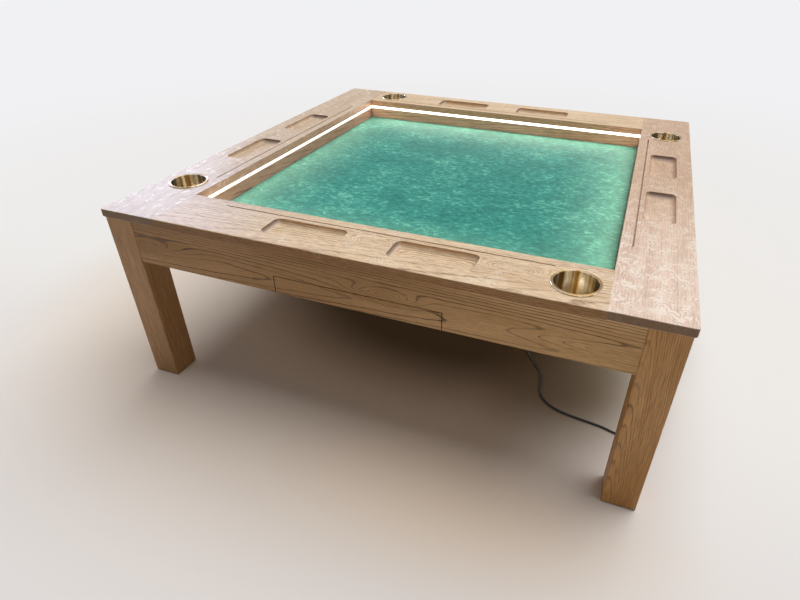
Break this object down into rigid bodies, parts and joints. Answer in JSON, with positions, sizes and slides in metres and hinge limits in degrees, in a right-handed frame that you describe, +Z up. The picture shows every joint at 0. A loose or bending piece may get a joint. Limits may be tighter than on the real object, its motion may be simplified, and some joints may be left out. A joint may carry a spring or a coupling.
{
  "type": "mahjong table with drawers",
  "caption": "Low square oak game table: sunken velvet field lit by a light strip, trays and card slots in the rim, drop-in brass cup holders, and a flush drawer on each side.",
  "frame": {"origin": "on the floor, under the centre of the table", "axes": "+Z up, +X to the right of the player at the front, +Y from the front player towards the back"},
  "size_m": [1.2, 1.2, 0.4543],
  "materials": {
    "oak": "light washed oak, satin oil",
    "beech": "plain sanded beech",
    "plywood": "sanded birch plywood",
    "velvet": "crushed velvet over a thin board",
    "brass": "spun and polished",
    "diffuser": "opal light diffuser",
    "led_tape": "light tape with diodes",
    "aluminium": "anodised",
    "zinc_steel": "zinc plated",
    "felt": "pressed felt",
    "driver_plastic": "moulded",
    "black_pvc": "satin cord sheath"
  },
  "bodies": {
    "root": {"top_board_front": "oak", "top_board_right": "oak", "top_board_back": "oak", "top_board_left": "oak", "top_board_dowels": "beech", "leg_front_left": "oak", "leg_front_right": "oak", "leg_back_left": "oak", "leg_back_right": "oak", "floor_pads": "felt", "corner_blocks": "beech", "hanger_bolts": "zinc_steel", "hanger_bolt_washers": "zinc_steel", "hanger_bolt_nuts": "zinc_steel", "apron_front": "oak", "apron_right": "oak", "apron_back": "oak", "apron_left": "oak", "top_clips": "zinc_steel", "top_clip_screws": "zinc_steel", "well_wall_front": "oak", "well_wall_right": "oak", "well_wall_back": "oak", "well_wall_left": "oak", "playing_panel": "plywood", "velvet_pad": "velvet", "panel_screws": "zinc_steel", "led_profiles": "aluminium", "led_tapes": "led_tape", "led_diffusers": "diffuser", "drawer_cheeks": "beech", "drawer_runners": "beech", "drawer_rear_rails": "beech", "support_bearers": "beech", "led_driver": "driver_plastic", "cord_gland": "black_pvc", "led_lead": "black_pvc", "lead_clips": "driver_plastic", "power_cord": "black_pvc", "cord_coil": "black_pvc", "mains_plug": "black_pvc"},
    "front_drawer": {"front_drawer_face": "oak", "front_drawer_box": "beech", "front_drawer_bottom": "plywood"},
    "right_drawer": {"right_drawer_face": "oak", "right_drawer_box": "beech", "right_drawer_bottom": "plywood"},
    "back_drawer": {"back_drawer_face": "oak", "back_drawer_box": "beech", "back_drawer_bottom": "plywood"},
    "left_drawer": {"left_drawer_face": "oak", "left_drawer_box": "beech", "left_drawer_bottom": "plywood"},
    "front_cup": {"front_cup_holder": "brass"},
    "right_cup": {"right_cup_holder": "brass"},
    "back_cup": {"back_cup_holder": "brass"},
    "left_cup": {"left_cup_holder": "brass"}
  },
  "joints": [
    {"name": "front_drawer_slide", "type": "slide", "parent": "root", "child": "front_drawer", "axis": [0, -1, 0], "range_m": [0, 0.1817]},
    {"name": "right_drawer_slide", "type": "slide", "parent": "root", "child": "right_drawer", "axis": [1, 0, 0], "range_m": [0, 0.1817]},
    {"name": "back_drawer_slide", "type": "slide", "parent": "root", "child": "back_drawer", "axis": [0, 1, 0], "range_m": [0, 0.1817]},
    {"name": "left_drawer_slide", "type": "slide", "parent": "root", "child": "left_drawer", "axis": [-1, 0, 0], "range_m": [0, 0.1817]},
    {"name": "front_cup_lift", "type": "slide", "parent": "root", "child": "front_cup", "axis": [0, 0, 1], "range_m": [0, 0.065]},
    {"name": "right_cup_lift", "type": "slide", "parent": "root", "child": "right_cup", "axis": [0, 0, 1], "range_m": [0, 0.065]},
    {"name": "back_cup_lift", "type": "slide", "parent": "root", "child": "back_cup", "axis": [0, 0, 1], "range_m": [0, 0.065]},
    {"name": "left_cup_lift", "type": "slide", "parent": "root", "child": "left_cup", "axis": [0, 0, 1], "range_m": [0, 0.065]}
  ]
}
